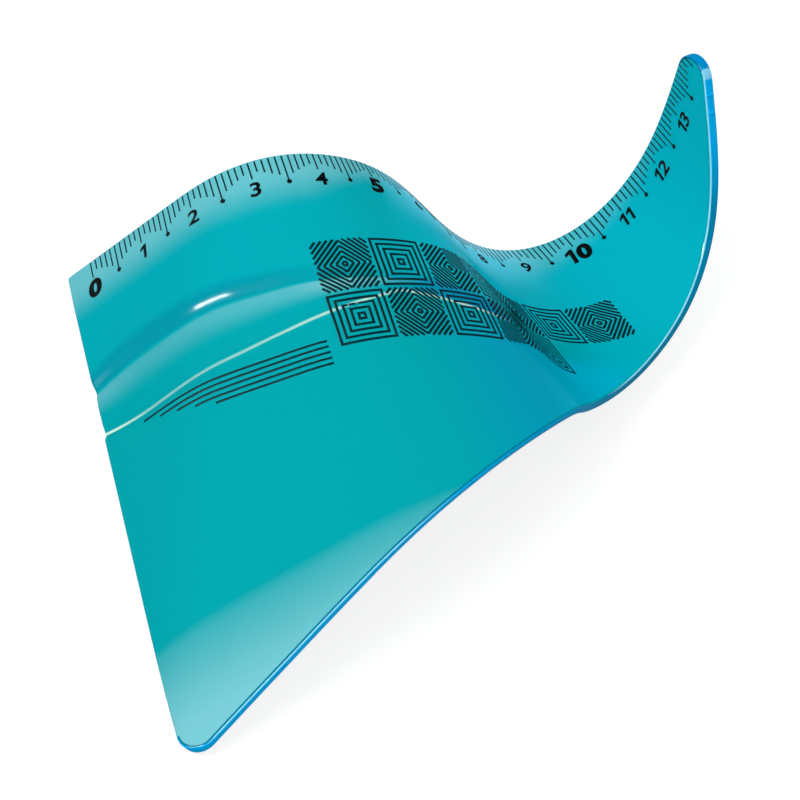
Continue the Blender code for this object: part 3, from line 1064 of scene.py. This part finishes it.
def add_camera():
    """A long lens from where the photo was taken."""
    data = bpy.data.cameras.new("camera")
    data.lens = CAMERA_LENS
    data.clip_start = CAMERA_NEAR
    camera = bpy.data.objects.new("camera", data)
    camera.location = CAMERA_PLACE
    camera.rotation_euler = CAMERA_TURN
    bpy.context.scene.collection.objects.link(camera)
    bpy.context.scene.camera = camera


def toward(azimuth, elevation):
    """The way to a lamp, as angles round from the side of -Y and up."""
    return Vector((sin(azimuth) * cos(elevation), -cos(azimuth) * cos(elevation), sin(elevation)))


def add_lamp(name, place, length_way, size, power):
    """A soft lamp over the origin: its place, the way its length runs, its width and length, its power."""
    data = bpy.data.lights.new(name, "AREA")
    data.shape = "RECTANGLE"
    data.size, data.size_y = size
    data.energy = power
    lamp = bpy.data.objects.new(name, data)
    back = Vector(place).normalized()
    long_way = (length_way - length_way.dot(back) * back).normalized()
    turn = Matrix((long_way.cross(back), long_way, back)).transposed()
    lamp.matrix_world = Matrix.Translation(place) @ turn.to_4x4()
    bpy.context.scene.collection.objects.link(lamp)
    return lamp


def add_key():
    """A broad soft light from above the camera's left, which leaves no highlight of its own."""
    lamp = add_lamp("key", KEY_PLACE, Vector((0, 1, 0)), KEY_SIZE, KEY_POWER)
    lamp.visible_glossy = False


def add_streak_lamp():
    """A narrow lamp that is seen only as the highlight on the wall of the grip channel."""
    low, high = toward(*STREAK_FROM), toward(*STREAK_TO)
    place = STREAK_DISTANCE * (low + high).normalized()
    lamp = add_lamp("streak", place, high - low, STREAK_SIZE, STREAK_POWER)
    lamp.visible_diffuse = False
    lamp.visible_transmission = False


def add_floor():
    """A white floor that keeps the sheet's soft shadow."""
    data = bpy.data.meshes.new("floor")
    flat = bmesh.new()
    bmesh.ops.create_grid(flat, x_segments=1, y_segments=1, size=FLOOR_REACH)
    flat.to_mesh(data)
    flat.free()
    data.materials.append(floor_material())
    floor = bpy.data.objects.new("floor", data)
    bpy.context.scene.collection.objects.link(floor)


def add_world():
    """Even light from all round, which is white where it is seen."""
    world = bpy.data.worlds.new("world")
    world.use_nodes = True
    tree = world.node_tree
    background = tree.nodes["Background"]
    background.inputs["Color"].default_value = WHITE
    strength = worked(tree, "ADD", WORLD_LIGHT, product(tree, seen(tree), 1 - WORLD_LIGHT))
    tree.links.new(strength, background.inputs["Strength"])
    bpy.context.scene.world = world


def main():
    """Builds the scene."""
    add_camera()
    sheet = flat_sheet()
    cut_rows(sheet, FIRST_ROW, SHORT_LEG, PLAIN_ROW_STEP)
    cut_rows(sheet, CHANNEL_ROWS_FROM, CHANNEL_ROWS_TO, CHANNEL_ROW_STEP)
    add_nubs(sheet)
    # The rim, its arris and its line carry painted shade, painted highlights and a painted reflection
    skins = {
        FACE: sheet_material(),
        RIM: rim_material("rim", RIM_PLACES, RIM_COLOURS, RIM_REFLECTION, RIM_END_SHADE),
        GLINT: rim_material("rim_glint", GLINT_PLACES, GLINT_COLOURS, GLINT_WHITE, RIM_END_SHADE),
        RIM_SHADE_LINE: rim_material("rim_shade_line", RIM_LINE_PLACES, RIM_LINE_COLOURS, TEAL, SHADE_LINE_END),
    }
    inks = {
        INK: ink_material("print_ink", INK_BLACK),
        THIN_INK: ink_material("thin_ink", INK_TEAL),
    }
    add_in_stretches("sheet", sheet, False, skins)
    add_in_stretches("scale_print", scale_print(), True, inks)
    add_in_stretches("band_print", band_print(), True, inks)
    add_floor()
    add_world()
    add_key()
    add_streak_lamp()
    bpy.context.scene.view_settings.view_transform = "Standard"


main()
